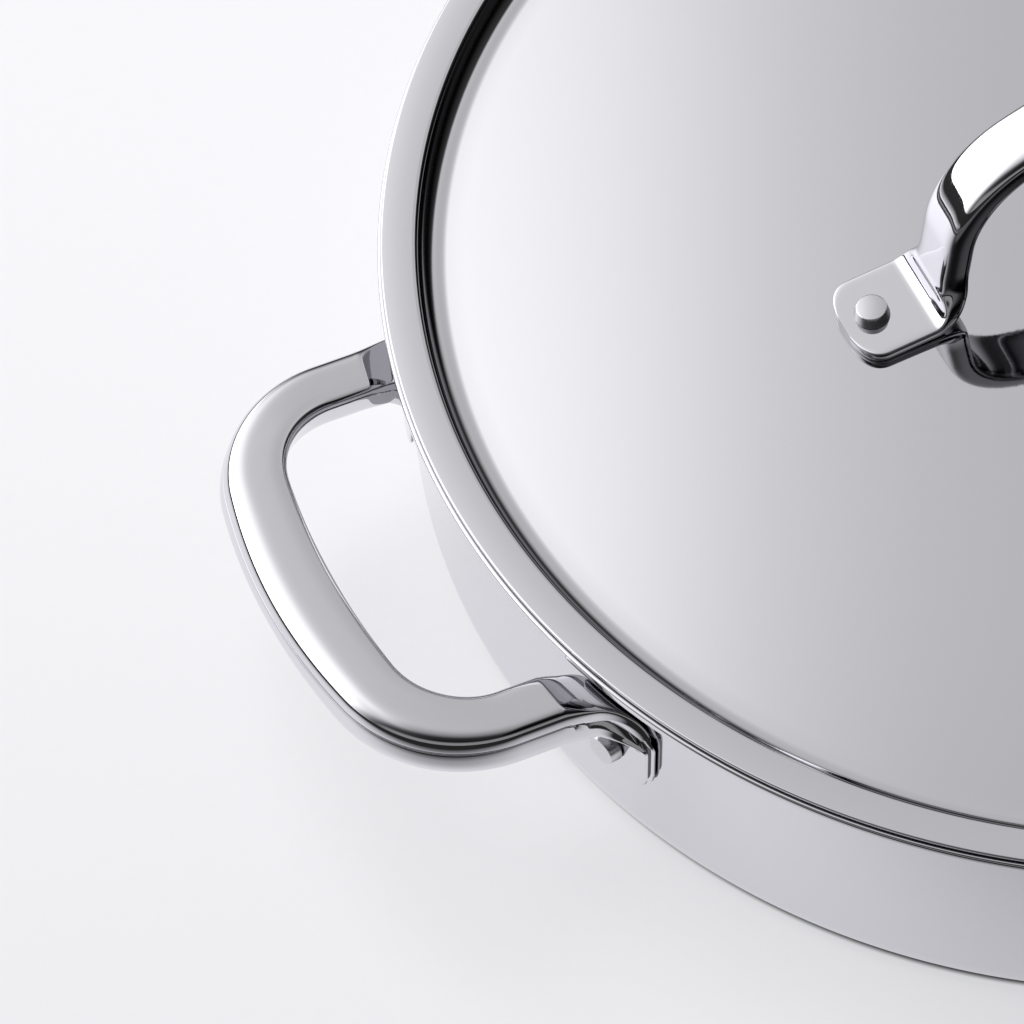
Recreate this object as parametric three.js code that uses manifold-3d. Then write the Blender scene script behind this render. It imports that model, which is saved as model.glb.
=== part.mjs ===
// Shallow lidded saute pan with two looped side handles and an arched lid handle.
// Millimetres, +Z up. The origin is the centre of the base, and the side handles lie along X.
// Each handle is two pressed shells, hollow in the grip and pinched flat into doubled ears.

import * as THREE from "three";
import { mergeVertices } from "three/addons/utils/BufferGeometryUtils.js";
import Module from "manifold-3d";

// Pan body, one bent sheet
const WALL_RADIUS = 136.5;
const RIM_HEIGHT = 55.1;
const PAN_SHEET = 2;
const BASE_BEND = 9;
const LIP_BEND = 5;
const LIP_FLAT = 1.5;

// Lid, one pressed sheet that drops into the mouth of the pan
const LID_SHEET = 1;
const LID_SETBACK = 0.7;
const LID_SEAT_GAP = 0.3;
const LID_CLEARANCE = 1.8;
const STEP_DROP = 7.55;
const STEP_RUN = 3.4;
const STEP_FOLD = 0.8;
const STEP_VALLEY = 4;
const DOME_RISE = 15.6;

// Sheets and clearances that every handle shares
const SHELL_SHEET = 1.15;
const PARTING_GAP = 0.1;
const EAR_GAP = 0.3;
const EAR_EDGE_POWER = 8;
const EAR_END_POWER = 2.5;
const EAR_TIP = 0.12;

// Side handle
const HANDLE_DROP = 14.6;
const ARM_SPACING = 86.4;
const ARM_LENGTH = 13.65;
const ARM_RISE_DEG = 2.7;
const SIDE_EAR_TALL = 12.7;
const SIDE_EAR_WIDTH = 18;
const SIDE_EAR_END_LENGTH = 5.5;
const SIDE_EAR_OFFSET = 1.6;
const SIDE_RIVET_RISE = 8.6;
const SIDE_FOLD = 6;
const SIDE_CORNER = 23.1;
const SIDE_BOW = 127.3;
const BAR_WIDTH = 13.2;
const ARM_WIDTH = 10.6;
const GRIP_DEPTH = 9.4;
const GRIP_INSET = 1.18;
const GRIP_LIFT = 1.92;
const GRIP_SHEAR_RATIO = 0.21;
const ARM_POWER = 4.5;
const BAR_POWER = 2.3;
const ARM_SEAM_RISE = 2.8;
const BAR_SEAM_RISE = 4.1;
const OUTER_SEAM_RISE = 0.95;
const SIDE_SWELL = 6;

// Lid handle
const LID_EAR_WIDTH = 18.4;
const LID_EAR_END_LENGTH = 5.5;
const LID_EAR_MARGIN = 5.85;
const LID_RIVET_STEP = 15.45;
const LID_FOLD = 7.5;
const LID_LEG_HALF = 39.2;
const LID_LEG_LENGTH = 10.5;
const LID_LEG_LEAN_DEG = 4.9;
const LID_CORNER = 20.8;
const LID_BOW = 65.2;
const LID_GRIP_WIDTH = 12.3;
const LID_GRIP_TOP = 4.3;
const LID_GRIP_POWER = 4.5;
const LID_CROWN_RATIO = 0.7;
const LID_TAPER = 3;

// Rivets
const SHANK_RADIUS = 2.5;
const SHANK_CLEARANCE = 0.2;
const HEAD_BASE_RADIUS = 3.5;
const HEAD_TOP_RADIUS = 2.95;
const HEAD_HEIGHT = 2.4;
const TAIL_RADIUS = 5;
const TAIL_HEIGHT = 1.4;
const HEAD_GAP = 0.25;
const TAIL_GAP = 0.4;

// Facets
const TURN_SEGMENTS = 60;
const RIVET_SEGMENTS = 12;
const BEND_STEPS = 3;
const DOME_STEPS = 5;
const SECTION_STEPS = 7;

const wasm = await Module();
wasm.setup();

const degrees = THREE.MathUtils.degToRad;
const blend = THREE.MathUtils.lerp;
const ramp = THREE.MathUtils.smoothstep;

// Sheet outlines

// A polyline whose corners are replaced by arcs: each corner is [r, z, bend radius].
function roundedLine(corners) {
  const points = [];
  corners.forEach(([r, z, bend], i) => {
    const corner = new THREE.Vector2(r, z);
    if (!bend) {
      points.push(corner);
      return;
    }
    const back = new THREE.Vector2(corners[i - 1][0], corners[i - 1][1]).sub(corner).normalize();
    const ahead = new THREE.Vector2(corners[i + 1][0], corners[i + 1][1]).sub(corner).normalize();
    const halfOpening = Math.acos(back.dot(ahead)) / 2;
    const bisector = back.clone().add(ahead).normalize();
    const centre = corner.clone().addScaledVector(bisector, bend / Math.sin(halfOpening));
    const first = corner.clone().addScaledVector(back, bend / Math.tan(halfOpening)).sub(centre);
    const sweep = (Math.PI - 2 * halfOpening) * Math.sign(ahead.cross(back));
    for (let k = 0; k <= BEND_STEPS; k += 1) {
      const spoke = first.clone().rotateAround(new THREE.Vector2(), (sweep * k) / BEND_STEPS);
      points.push(spoke.add(centre));
    }
  });
  return points;
}

// The closed outline of a sheet that lies on the left of a line running outwards from the axis.
function sheetOutline(line, thickness) {
  const leftOf = (a, b) => new THREE.Vector2(a.y - b.y, b.x - a.x).normalize();
  const upper = line.map((point, i) => {
    const before = i > 0 ? leftOf(line[i - 1], point) : new THREE.Vector2(0, 1);
    const after = i < line.length - 1 ? leftOf(point, line[i + 1]) : before;
    const mitre = before.clone().add(after).normalize();
    return point.clone().addScaledVector(mitre, thickness / mitre.dot(after));
  });
  upper[0].x = 0;
  return [...line, ...upper.reverse()];
}

function revolve(outline, segments) {
  return new THREE.LatheGeometry(outline, segments).rotateX(Math.PI / 2);
}

// Solids for cutting

function toSolid(geometry) {
  const bare = geometry.clone();
  bare.deleteAttribute("normal");
  bare.deleteAttribute("uv");
  const merged = mergeVertices(bare, 1e-4);
  const index = Array.from(merged.index.array);
  const kept = [];
  for (let i = 0; i < index.length; i += 3) {
    const [a, b, c] = index.slice(i, i + 3);
    if (a !== b && b !== c && c !== a) kept.push(a, b, c);
  }
  const mesh = new wasm.Mesh({
    numProp: 3,
    vertProperties: new Float32Array(merged.attributes.position.array),
    triVerts: new Uint32Array(kept),
  });
  return new wasm.Manifold(mesh);
}

function toGeometry(solid) {
  const mesh = solid.getMesh();
  const geometry = new THREE.BufferGeometry();
  geometry.setAttribute("position", new THREE.BufferAttribute(mesh.vertProperties, 3));
  geometry.setIndex(new THREE.BufferAttribute(mesh.triVerts, 1));
  return geometry;
}

function cut(geometry, cutters) {
  const solid = cutters.reduce((left, cutter) => left.subtract(toSolid(cutter)), toSolid(geometry));
  return toGeometry(solid);
}

// Ribbons, each a parting line that carries a section

// Walks a parting line from a start frame. A move is straight, or bends about the across axis
// (away from the upper face when positive) or about the normal (towards the across axis).
function walk(start, moves) {
  let place = start.place.clone();
  let travel = start.travel.clone();
  let across = start.across.clone();
  let distance = 0;
  const frame = () => ({
    place: place.clone(),
    travel: travel.clone(),
    across: across.clone(),
    normal: travel.clone().cross(across),
    distance,
  });
  const stations = [frame()];
  for (const move of moves) {
    const length = move.length ?? move.radius * Math.abs(move.angle);
    const from = frame();
    for (let k = 1; k <= move.steps; k += 1) {
      const part = k / move.steps;
      if (move.length) {
        place = from.place.clone().addScaledVector(from.travel, move.length * part);
      } else {
        const axis = move.about === "across" ? from.across : from.normal;
        const side = axis.clone().cross(from.travel).multiplyScalar(Math.sign(move.angle));
        const centre = from.place.clone().addScaledVector(side, move.radius);
        const turn = new THREE.Quaternion().setFromAxisAngle(axis, move.angle * part);
        place = from.place.clone().sub(centre).applyQuaternion(turn).add(centre);
        travel = from.travel.clone().applyQuaternion(turn);
        across = from.across.clone().applyQuaternion(turn);
      }
      distance = from.distance + length * part;
      stations.push(frame());
    }
  }
  return stations;
}

// Points [across, up] of a rounded section on one side of its parting line, from the inner seam to
// the outer one. A seam is the share of the height at which the line lies on that side, and the
// shear slides the section across as it rises, so that a flat top stays level.
function sectionPoints(section, side, inset) {
  const { half, top, belly, innerPower, outerPower, shear } = section;
  const first = Math.asin(section.innerSeam ** (innerPower / 2));
  const last = Math.PI - Math.asin(section.outerSeam ** (outerPower / 2));
  const sweep = side > 0 ? last - first : last - first - 2 * Math.PI;
  const points = [];
  for (let k = 0; k <= SECTION_STEPS; k += 1) {
    const angle = first + (sweep * k) / SECTION_STEPS;
    const power = 2 / (Math.cos(angle) > 0 ? innerPower : outerPower);
    const across = Math.sign(Math.cos(angle)) * Math.abs(Math.cos(angle)) ** power;
    const rise = Math.sign(Math.sin(angle)) * Math.abs(Math.sin(angle)) ** power;
    const up = ((rise > 0 ? top : belly) - inset) * rise;
    points.push([(half - inset) * across + shear * up, up]);
  }
  return points;
}

// Places section points on a station, where the section is slid across and lifted.
function ringAt(station, points, { shift, lift }, bend) {
  return points.map(([w, n]) => {
    const point = station.place.clone();
    point.addScaledVector(station.across, shift + w).addScaledVector(station.normal, lift + n);
    return bend ? bend(point) : point;
  });
}

// A closed skin over equal rings, with a fan on each end.
function loft(rings, inward) {
  const count = rings[0].length;
  const positions = rings.flat().flatMap((p) => [p.x, p.y, p.z]);
  const triangles = [];
  const add = (a, b, c) => triangles.push(...(inward ? [a, c, b] : [a, b, c]));
  for (let i = 0; i < rings.length - 1; i += 1) {
    for (let k = 0; k < count; k += 1) {
      const a = i * count + k;
      const b = i * count + ((k + 1) % count);
      add(a, b, b + count);
      add(a, b + count, a + count);
    }
  }
  const last = (rings.length - 1) * count;
  for (let k = 1; k < count - 1; k += 1) {
    add(0, k + 1, k);
    add(last, last + k, last + k + 1);
  }
  const geometry = new THREE.BufferGeometry();
  geometry.setAttribute("position", new THREE.Float32BufferAttribute(positions, 3));
  geometry.setIndex(triangles);
  return geometry;
}

// One pressed shell: its side of the section along the ribbon, less the hollow in the grip.
function shell(ribbon, side) {
  const { stations, sectionAt, hollowFrom, bend } = ribbon;
  const total = stations.at(-1).distance;
  const inward = side < 0;
  const skin = [];
  const hollow = [];
  for (const station of stations) {
    const fromEnd = Math.min(station.distance, total - station.distance);
    const section = sectionAt(fromEnd);
    const height = side > 0 ? section.top : section.belly;
    const apart = (side * PARTING_GAP) / 2;
    const outside = sectionPoints(section, side, 0).map(([w, n]) => [w, n + apart]);
    skin.push(ringAt(station, outside, section, bend));
    if (fromEnd < hollowFrom || height <= 2 * SHELL_SHEET) continue;
    const inside = sectionPoints(section, side, SHELL_SHEET);
    const mouth = [inside.at(-1), inside[0]].map(([w, n]) => [w, n - side * SHELL_SHEET]);
    hollow.push(ringAt(station, [...inside, ...mouth], section, bend));
  }
  const body = loft(skin, inward);
  return hollow.length > 1 ? cut(body, [loft(hollow, inward)]) : body;
}

// The half width of an ear whose end is a bow with round corners.
function earHalf(width, end, fromEnd) {
  const short = Math.max(1 - (fromEnd + EAR_TIP) / end, 0);
  return (width / 2) * (1 - short ** EAR_END_POWER) ** (1 / EAR_END_POWER);
}

// The angle that a bowed bar turns on each side of its middle, between two corners whose legs lean in.
function bowAngle(halfSpacing, corner, bow, lean = 0) {
  return Math.asin((halfSpacing - corner * Math.cos(lean)) / (bow - corner));
}

// Rivets

// A rivet along +Z: its clenched tail lies below zero and its coned head above the grip length.
function rivet(grip) {
  const tail = -TAIL_GAP;
  const seat = grip + HEAD_GAP;
  const outline = [
    [0, tail - TAIL_HEIGHT],
    [TAIL_RADIUS * 0.6, tail - TAIL_HEIGHT * 0.75],
    [TAIL_RADIUS, tail],
    [SHANK_RADIUS, tail],
    [SHANK_RADIUS, seat],
    [HEAD_BASE_RADIUS, seat],
    [HEAD_TOP_RADIUS, seat + HEAD_HEIGHT],
    [0, seat + HEAD_HEIGHT],
  ];
  return revolve(outline.map(([r, z]) => new THREE.Vector2(r, z)), RIVET_SEGMENTS);
}

// A cutter for the hole that a rivet's shank fills, long enough to clear both heads.
function rivetHole(grip, frame) {
  const radius = SHANK_RADIUS + SHANK_CLEARANCE;
  const reach = TAIL_HEIGHT + HEAD_HEIGHT + TAIL_GAP;
  const hole = new THREE.CylinderGeometry(radius, radius, grip + 2 * reach, RIVET_SEGMENTS);
  return hole.rotateX(Math.PI / 2).translate(0, 0, grip / 2).applyMatrix4(frame);
}

function frameAlong(place, direction) {
  const turn = new THREE.Quaternion().setFromUnitVectors(new THREE.Vector3(0, 0, 1), direction);
  return new THREE.Matrix4().compose(place, turn, new THREE.Vector3(1, 1, 1));
}

// Finishes

function polishedSteel() {
  return new THREE.MeshStandardMaterial({ color: 0xd8dadc, metalness: 1, roughness: 0.06 });
}

function spunSteel() {
  return new THREE.MeshStandardMaterial({ color: 0xcfd0d1, metalness: 1, roughness: 0.35 });
}

function named(name, geometry, material) {
  const mesh = new THREE.Mesh(geometry, material);
  mesh.name = name;
  return mesh;
}

function placed(mesh, frame) {
  mesh.applyMatrix4(frame);
  return mesh;
}

// Pan body

function panOutline() {
  const underLip = RIM_HEIGHT - PAN_SHEET;
  const line = roundedLine([
    [0, 0],
    [WALL_RADIUS, 0, BASE_BEND],
    [WALL_RADIUS, underLip, LIP_BEND],
    [WALL_RADIUS + LIP_BEND + LIP_FLAT, underLip],
  ]);
  return sheetOutline(line, PAN_SHEET);
}

// Lid

const brimUnder = RIM_HEIGHT + LID_SEAT_GAP;
const stepFoot = new THREE.Vector2(WALL_RADIUS - PAN_SHEET - LID_CLEARANCE, brimUnder - STEP_DROP);

function domeUnder(radius) {
  return stepFoot.y + DOME_RISE * (1 - (radius / stepFoot.x) ** 2);
}

function lidOutline() {
  const dome = [];
  for (let k = 0; k < DOME_STEPS; k += 1) {
    const radius = (stepFoot.x * k) / DOME_STEPS;
    dome.push([radius, domeUnder(radius)]);
  }
  const line = roundedLine([
    ...dome,
    [stepFoot.x, stepFoot.y, STEP_VALLEY],
    [stepFoot.x + STEP_RUN, brimUnder, STEP_FOLD],
    [WALL_RADIUS + LIP_BEND + LIP_FLAT - LID_SETBACK, brimUnder],
  ]);
  return sheetOutline(line, LID_SHEET);
}

// Side handle, on the +X side of the pan

const armOffset = ARM_SPACING / 2;
const armRise = degrees(ARM_RISE_DEG);
const earDepth = 2 * SHELL_SHEET + PARTING_GAP;
const sideEarFoot = RIM_HEIGHT - HANDLE_DROP - SIDE_FOLD * Math.cos(armRise) - SIDE_EAR_TALL;

function wallDepth(offset) {
  return Math.sqrt(WALL_RADIUS ** 2 - offset ** 2);
}

// Slides points along X so that the ears lie on the round wall and the grip stays straight.
function hugWall(point) {
  const standOff = point.x - wallDepth(armOffset);
  const share = 1 - ramp(standOff, SIDE_FOLD / 2, SIDE_FOLD + ARM_LENGTH);
  const offset = Math.min(Math.abs(point.y), armOffset + SIDE_EAR_WIDTH);
  point.x += share * (wallDepth(offset) - wallDepth(armOffset));
  return point;
}

function sideSection(fromEnd) {
  const foldEnd = SIDE_EAR_TALL + SIDE_FOLD * (Math.PI / 2 - armRise);
  const cornerStart = foldEnd + ARM_LENGTH;
  const bow = bowAngle(armOffset, SIDE_CORNER, SIDE_BOW);
  const middle = cornerStart + SIDE_CORNER * (Math.PI / 2 - bow) + SIDE_BOW * bow;
  const swell = ramp(fromEnd, SIDE_EAR_TALL, foldEnd + SIDE_SWELL);
  const waist = ramp(fromEnd, SIDE_EAR_TALL, foldEnd);
  const bar = ramp(fromEnd, cornerStart, middle);
  const ear = earHalf(SIDE_EAR_WIDTH, SIDE_EAR_END_LENGTH, fromEnd);
  const height = blend(SHELL_SHEET, GRIP_DEPTH / 2, swell);
  return {
    half: blend(ear, blend(ARM_WIDTH, BAR_WIDTH, bar) / 2, waist),
    top: height,
    belly: height,
    innerPower: blend(EAR_EDGE_POWER, ARM_POWER, swell),
    outerPower: blend(EAR_EDGE_POWER, blend(ARM_POWER, BAR_POWER, bar), swell),
    shear: GRIP_SHEAR_RATIO * swell,
    shift: GRIP_INSET * swell - SIDE_EAR_OFFSET * (1 - waist),
    lift: GRIP_LIFT * swell,
    innerSeam: (blend(ARM_SEAM_RISE, BAR_SEAM_RISE, bar) / (GRIP_DEPTH / 2)) * swell,
    outerSeam: (OUTER_SEAM_RISE / (GRIP_DEPTH / 2)) * swell,
  };
}

function sideRibbon() {
  const bow = bowAngle(armOffset, SIDE_CORNER, SIDE_BOW);
  const fold = { about: "across", radius: SIDE_FOLD, angle: Math.PI / 2 - armRise, steps: 4 };
  const corner = { about: "normal", radius: SIDE_CORNER, angle: Math.PI / 2 - bow, steps: 5 };
  const earEnd = [0.2, 0.35, 0.45].map((share) => ({ length: SIDE_EAR_END_LENGTH * share, steps: 1 }));
  const earRest = { length: SIDE_EAR_TALL - SIDE_EAR_END_LENGTH, steps: 1 };
  const arm = { length: ARM_LENGTH, steps: 4 };
  const root = [...earEnd, earRest, fold, arm, corner];
  const bar = { about: "normal", radius: SIDE_BOW, angle: 2 * bow, steps: 6 };
  const standOff = EAR_GAP + SHELL_SHEET + PARTING_GAP / 2;
  const start = {
    place: new THREE.Vector3(wallDepth(armOffset) + standOff, -armOffset, sideEarFoot),
    travel: new THREE.Vector3(0, 0, 1),
    across: new THREE.Vector3(0, 1, 0),
  };
  return {
    stations: walk(start, [...root, bar, ...root.toReversed()]),
    sectionAt: sideSection,
    hollowFrom: SIDE_EAR_TALL + SIDE_FOLD * Math.PI / 2,
    bend: hugWall,
  };
}

const sideGrip = PAN_SHEET + EAR_GAP + earDepth;

// The frame of a side rivet: its origin is on the inside of the wall, its axis square to the wall.
function sideRivetFrame(sign) {
  const offset = armOffset + SIDE_EAR_OFFSET;
  const outward = new THREE.Vector3(wallDepth(offset), sign * offset, 0).divideScalar(WALL_RADIUS);
  const place = outward.clone().multiplyScalar(WALL_RADIUS - PAN_SHEET);
  place.z = sideEarFoot + SIDE_RIVET_RISE;
  return frameAlong(place, outward);
}

// Lid handle

const lidRivetReach = LID_LEG_HALF + LID_RIVET_STEP;

function lidSeat() {
  const slope = (2 * DOME_RISE * lidRivetReach) / stepFoot.x ** 2;
  const tilt = Math.atan(slope);
  return { tilt, under: new THREE.Vector3(-lidRivetReach, 0, domeUnder(lidRivetReach)) };
}

function lidSection(fromEnd, earLength, foldEnd) {
  const swell = ramp(fromEnd, earLength, blend(earLength, foldEnd, LID_CROWN_RATIO));
  const taper = ramp(fromEnd, earLength, foldEnd + LID_TAPER);
  const power = blend(EAR_EDGE_POWER, LID_GRIP_POWER, swell);
  const ear = earHalf(LID_EAR_WIDTH, LID_EAR_END_LENGTH, fromEnd);
  return {
    half: blend(ear, LID_GRIP_WIDTH / 2, taper),
    top: blend(SHELL_SHEET, LID_GRIP_TOP, swell),
    belly: SHELL_SHEET,
    innerPower: power,
    outerPower: power,
    shear: 0,
    shift: 0,
    lift: 0,
    innerSeam: 0,
    outerSeam: 0,
  };
}

function lidRibbon() {
  const { tilt, under } = lidSeat();
  const travel = new THREE.Vector3(Math.cos(tilt), 0, Math.sin(tilt));
  const across = new THREE.Vector3(0, 1, 0);
  const normal = travel.clone().cross(across);
  const lift = LID_SHEET + EAR_GAP + SHELL_SHEET + PARTING_GAP / 2;
  const place = under.clone().addScaledVector(normal, lift);
  place.addScaledVector(travel, -LID_EAR_MARGIN / Math.cos(tilt));
  const lean = degrees(LID_LEG_LEAN_DEG);
  const foldRun = LID_FOLD * (Math.cos(lean) - Math.sin(tilt));
  const earLength = (-LID_LEG_HALF - foldRun - place.x) / Math.cos(tilt);
  const foldTurn = Math.PI / 2 - lean - tilt;
  const foldEnd = earLength + LID_FOLD * foldTurn;
  const legTop = LID_LEG_HALF - LID_LEG_LENGTH * Math.sin(lean);
  const bow = bowAngle(legTop, LID_CORNER, LID_BOW, lean);
  const earEnd = [0.2, 0.35, 0.45].map((share) => ({ length: LID_EAR_END_LENGTH * share, steps: 1 }));
  const earRest = { length: earLength - LID_EAR_END_LENGTH, steps: 1 };
  const fold = { about: "across", radius: LID_FOLD, angle: -foldTurn, steps: 5 };
  const leg = { length: LID_LEG_LENGTH, steps: 3 };
  const corner = { about: "across", radius: LID_CORNER, angle: Math.PI / 2 - lean - bow, steps: 5 };
  const root = [...earEnd, earRest, fold, leg, corner];
  const bar = { about: "across", radius: LID_BOW, angle: 2 * bow, steps: 6 };
  return {
    stations: walk({ place, travel, across }, [...root, bar, ...root.toReversed()]),
    sectionAt: (fromEnd) => lidSection(fromEnd, earLength, foldEnd),
    hollowFrom: foldEnd + LID_FOLD / 2,
    bend: null,
  };
}

const lidGrip = LID_SHEET + EAR_GAP + earDepth;

// The frame of a lid rivet: its origin is under the lid, its axis square to the dome there.
function lidRivetFrame(sign) {
  const { tilt, under } = lidSeat();
  const outward = new THREE.Vector3(sign * Math.sin(tilt), 0, Math.cos(tilt));
  return frameAlong(new THREE.Vector3(-sign * under.x, 0, under.z), outward);
}

// Assembly

const pan = new THREE.Group();
const sides = [
  { name: "right", turn: new THREE.Matrix4(), ends: ["front", "back"] },
  { name: "left", turn: new THREE.Matrix4().makeRotationZ(Math.PI), ends: ["back", "front"] },
];

const sideFrames = [-1, 1].map(sideRivetFrame);
const sideHoles = sideFrames.map((frame) => rivetHole(sideGrip, frame));
const wallHoles = sides.flatMap(({ turn }) => sideHoles.map((hole) => hole.clone().applyMatrix4(turn)));
const body = cut(revolve(panOutline(), TURN_SEGMENTS), wallHoles);
pan.add(named("pan_body", body, polishedSteel()));

const handle = sideRibbon();
const upperShell = cut(shell(handle, 1), sideHoles);
const lowerShell = cut(shell(handle, -1), sideHoles);
for (const side of sides) {
  pan.add(placed(named(`${side.name}_handle_upper_shell`, upperShell, polishedSteel()), side.turn));
  pan.add(placed(named(`${side.name}_handle_lower_shell`, lowerShell, polishedSteel()), side.turn));
  side.ends.forEach((end, i) => {
    const frame = side.turn.clone().multiply(sideFrames[i]);
    pan.add(placed(named(`${side.name}_handle_rivet_${end}`, rivet(sideGrip), spunSteel()), frame));
  });
}

const lid = new THREE.Group();
const lidFrames = [-1, 1].map(lidRivetFrame);
const lidHoles = lidFrames.map((frame) => rivetHole(lidGrip, frame));
const arch = lidRibbon();
lid.add(named("lid", cut(revolve(lidOutline(), TURN_SEGMENTS), lidHoles), polishedSteel()));
lid.add(named("lid_handle_outer_shell", cut(shell(arch, 1), lidHoles), polishedSteel()));
lid.add(named("lid_handle_inner_shell", cut(shell(arch, -1), lidHoles), polishedSteel()));
["left", "right"].forEach((name, i) => {
  lid.add(placed(named(`lid_handle_rivet_${name}`, rivet(lidGrip), spunSteel()), lidFrames[i]));
});
pan.add(lid);

export default pan;
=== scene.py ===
"""Looks of a lidded saute pan in polished stainless steel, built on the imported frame.

Every CAD solid is replaced by a smooth surface inside the same box. Lengths in the classes are in
millimetres, in the part's own frame: +Z up, the side handles along X, the base at height zero.
"""

import logging
import math
from dataclasses import dataclass
from enum import Enum
from typing import Any

import bpy
import numpy as np
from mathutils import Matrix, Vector
from numpy.typing import NDArray


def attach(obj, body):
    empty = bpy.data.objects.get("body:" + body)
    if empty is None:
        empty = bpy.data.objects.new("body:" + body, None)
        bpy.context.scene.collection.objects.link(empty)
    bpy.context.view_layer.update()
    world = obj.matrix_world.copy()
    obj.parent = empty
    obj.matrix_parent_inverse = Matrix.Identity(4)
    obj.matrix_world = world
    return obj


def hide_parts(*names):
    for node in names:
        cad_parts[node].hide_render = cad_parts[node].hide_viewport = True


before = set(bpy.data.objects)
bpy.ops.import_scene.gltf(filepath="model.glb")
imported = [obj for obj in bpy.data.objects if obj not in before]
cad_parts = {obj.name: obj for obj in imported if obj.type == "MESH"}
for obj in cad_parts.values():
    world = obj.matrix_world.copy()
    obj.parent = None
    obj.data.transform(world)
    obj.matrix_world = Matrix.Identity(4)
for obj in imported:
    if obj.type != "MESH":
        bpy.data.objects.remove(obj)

Array = NDArray[np.float64]
Span = tuple[float, float]
Material = bpy.types.Material
Socket = bpy.types.NodeSocket
Tree = bpy.types.NodeTree
LOG = logging.getLogger("saute_pan")
MM = 0.001
# Steps in each kind of curve
TURN_STEPS = 288
RIVET_STEPS = 72
TAIL_STEPS = 11
BEND_STEPS = 14
EDGE_STEPS = 12
DOME_STEPS = 48
SECTION_STEPS = 56
EDGE_POWER = 0.7
# Share that the room's light and the floor's colour keep at each mirror after the first: painted shade in
# repeated reflections
SECOND_MIRROR = 0.5


class Half(Enum):
    """The two pressed shells of a handle, by the side of the parting line that they lie on."""

    UPPER = 1
    LOWER = -1


class BendAxis(Enum):
    """The axis that a bend in a ribbon turns about."""

    ACROSS = "across"
    NORMAL = "normal"


def linear_colour(code: str) -> tuple[float, float, float, float]:
    """Turn an sRGB hex colour into linear light.

    Args:
        code: Colour such as "#d8dadc".

    Returns:
        Linear red, green, blue and an alpha of one.
    """
    parts = np.array([int(code[i : i + 2], 16) / 255 for i in (1, 3, 5)])
    low = parts / 12.92
    high = ((parts + 0.055) / 1.055) ** 2.4
    red, green, blue = np.where(parts <= 0.04045, low, high)
    return (float(red), float(green), float(blue), 1.0)


def add_node(tree: Tree, kind: str, inputs: dict[str | int, Any] | None = None,
             settings: dict[str, str] | None = None) -> bpy.types.Node:
    """Add one node with its settings, its constants and its links.

    Args:
        tree: Tree that takes the node.
        kind: Blender's type name of the node, less the leading ShaderNode.
        inputs: Socket name or number to a constant, or to an output socket that feeds it.
        settings: Properties of the node itself.

    Returns:
        The new node.
    """
    node = tree.nodes.new(f"ShaderNode{kind}")
    for name, value in (settings or {}).items():
        setattr(node, name, value)
    for name, value in (inputs or {}).items():
        if isinstance(value, Socket):
            tree.links.new(value, node.inputs[name])
        else:
            node.inputs[name].default_value = value
    return node


def add_math(tree: Tree, operation: str, first: Socket | float, second: Socket | float,
             third: float = 0.0) -> Socket:
    """Add one calculation on values that are constants or sockets, and give its output."""
    node = add_node(tree, "Math", {0: first, 1: second, 2: third}, {"operation": operation})
    return node.outputs["Value"]


def add_dot(tree: Tree, place: Socket, direction: Vector) -> Socket:
    """Add the distance of a place along a direction, and give its output."""
    node = add_node(tree, "VectorMath", {0: place, 1: tuple(direction)}, {"operation": "DOT_PRODUCT"})
    return node.outputs["Value"]


def add_step(tree: Tree, value: Socket, span: Span, levels: Span = (0.0, 1.0)) -> Socket:
    """Add a smooth step between two levels.

    Args:
        tree: Tree that takes the node.
        value: Output socket that drives the step.
        span: Values at which the step starts and ends.
        levels: Levels before and after it.

    Returns:
        Its output socket.
    """
    node = add_node(tree, "MapRange", {
        "Value": value, "From Min": span[0], "From Max": span[1], "To Min": levels[0], "To Max": levels[1],
    }, {"interpolation_type": "SMOOTHSTEP"})
    return node.outputs["Result"]


def add_levels(tree: Tree, value: Socket, stops: tuple[Span, ...]) -> Socket:
    """Add a smooth run of grey levels over a value from -1 to 1.

    Args:
        tree: Tree that takes the nodes.
        value: Output socket that drives the run.
        stops: Value and level of each stop, in order.

    Returns:
        Its output socket.
    """
    node = add_node(tree, "ValToRGB", {"Fac": add_math(tree, "MULTIPLY_ADD", value, 0.5, 0.5)})
    run = node.color_ramp
    run.interpolation = "B_SPLINE"
    peak = max(level for _, level in stops)
    for place, _ in stops[1:-1]:
        run.elements.new((place + 1) / 2)
    for element, (_, level) in zip(run.elements, stops):
        element.color = (level / peak, level / peak, level / peak, 1.0)
    return add_math(tree, "MULTIPLY", node.outputs["Color"], peak)


def add_bounce_share(tree: Tree) -> Socket:
    """Add the share kept after n mirrors, SECOND_MIRROR^(n - 1), and all of it before the first: painted
    shade in repeated reflections.

    Args:
        tree: Tree that takes the nodes.

    Returns:
        Its output socket.
    """
    depth = add_node(tree, "LightPath").outputs["Glossy Depth"]
    more = add_math(tree, "MAXIMUM", add_math(tree, "SUBTRACT", depth, 1.0), 0.0)
    return add_math(tree, "POWER", SECOND_MIRROR, more)


def ramp(value: Array, start: float, end: float) -> Array:
    """Smooth step: 0 before start, 1 after end, and 3t^2 - 2t^3 between them."""
    share = np.clip((value - start) / (end - start), 0.0, 1.0)
    return share * share * (3.0 - 2.0 * share)


def blend(first: Array | float, last: Array | float, share: Array) -> Array:
    """Straight mix of two values by a share from 0 to 1."""
    return first + (last - first) * share


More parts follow.
